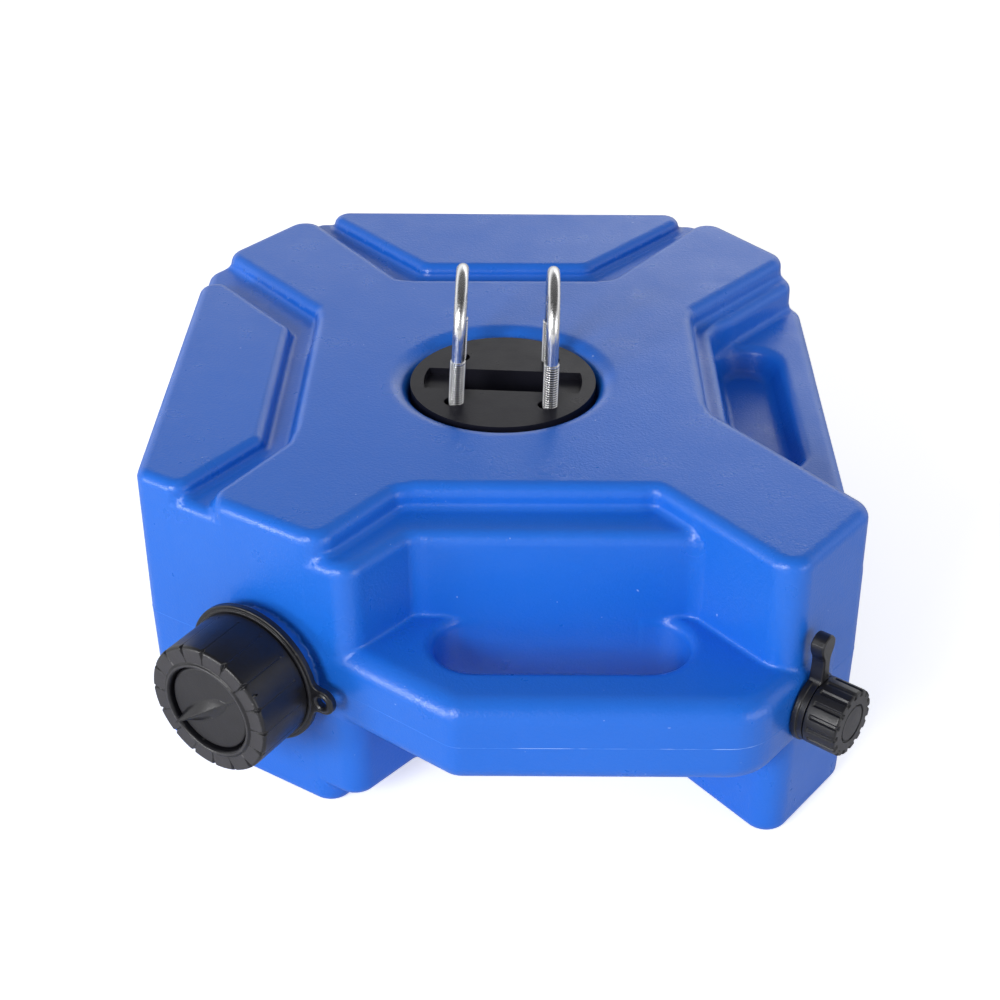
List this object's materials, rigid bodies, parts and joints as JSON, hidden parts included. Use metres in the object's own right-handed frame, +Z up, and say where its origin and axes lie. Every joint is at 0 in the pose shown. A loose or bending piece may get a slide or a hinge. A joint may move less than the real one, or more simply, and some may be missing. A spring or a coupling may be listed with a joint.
{
  "type": "gas can",
  "caption": "Flat blow-moulded fuel can with carry handle, screw-capped filler and vent, and a locking mount plate with U-bolts that clamps it to a rack tube.",
  "frame": {"origin": "middle of the outline, on the surface that the can lies on", "axes": "+X to the right seen from the handle, +Y from the handle to the back, +Z up, out of the face with the U-bolts"},
  "size_m": [0.2637, 0.3119, 0.1688],
  "materials": {
    "shell": "satin, fine grain",
    "cap_plastic": "satin black",
    "plate_plastic": "semi-gloss black",
    "steel": "polished stainless",
    "seal_rubber": "matt"
  },
  "bodies": {
    "can": {"can_body": "shell", "mount_plate": "plate_plastic", "u_bolt_left": "steel", "u_bolt_right": "steel", "u_bolt_washers": "steel", "u_bolt_nuts": "steel", "knob_washer": "seal_rubber"},
    "filler_ring": {"filler_tether_ring": "cap_plastic"},
    "stopper": {"filler_stopper": "cap_plastic", "filler_gasket": "seal_rubber"},
    "collar": {"filler_collar": "cap_plastic"},
    "vent_ring": {"vent_tether_ring": "cap_plastic"},
    "vent_disc": {"vent_seal": "seal_rubber"},
    "vent_screw_cap": {"vent_cap": "cap_plastic"},
    "lock": {"lock_spindle": "steel", "lock_knob": "plate_plastic", "spindle_pin": "steel"},
    "key_barrel": {"lock_cylinder": "steel"}
  },
  "joints": [
    {"name": "filler_ring_swivel", "type": "hinge", "parent": "can", "child": "filler_ring", "pos_m": [-0.08349, -0.10809, 0.0606], "axis": [-0.5338, -0.8456, 0], "continuous": true},
    {"name": "filler_lift", "type": "slide", "parent": "can", "child": "stopper", "axis": [-0.5338, -0.8456, 0], "range_m": [0, 0.01201]},
    {"name": "filler_turn", "type": "hinge", "parent": "stopper", "child": "collar", "pos_m": [-0.08349, -0.10809, 0.0606], "axis": [-0.5338, -0.8456, 0], "range_deg": [0, 1080]},
    {"name": "vent_ring_swivel", "type": "hinge", "parent": "can", "child": "vent_ring", "pos_m": [0.10454, -0.12877, 0.0606], "axis": [0.7816, -0.6237, 0], "continuous": true},
    {"name": "vent_lift", "type": "slide", "parent": "can", "child": "vent_disc", "axis": [0.7816, -0.6237, 0], "range_m": [0, 0.00751]},
    {"name": "vent_turn", "type": "hinge", "parent": "vent_disc", "child": "vent_screw_cap", "pos_m": [0.10454, -0.12877, 0.0606], "axis": [0.7816, -0.6237, 0], "range_deg": [0, 1080]},
    {"name": "knob_turn", "type": "hinge", "parent": "can", "child": "lock", "pos_m": [0, -0.00619, 0.0171], "axis": [0, 0, 1], "range_deg": [0, 90]},
    {"name": "key_turn", "type": "hinge", "parent": "lock", "child": "key_barrel", "pos_m": [0, -0.00619, 0.0025], "axis": [0, 0, 1], "range_deg": [0, 90]}
  ],
  "couplings": [
    {"joint": "filler_lift", "follows": "filler_turn", "m_per_rad": 0.00063662},
    {"joint": "vent_lift", "follows": "vent_turn", "m_per_rad": 0.00039789}
  ]
}
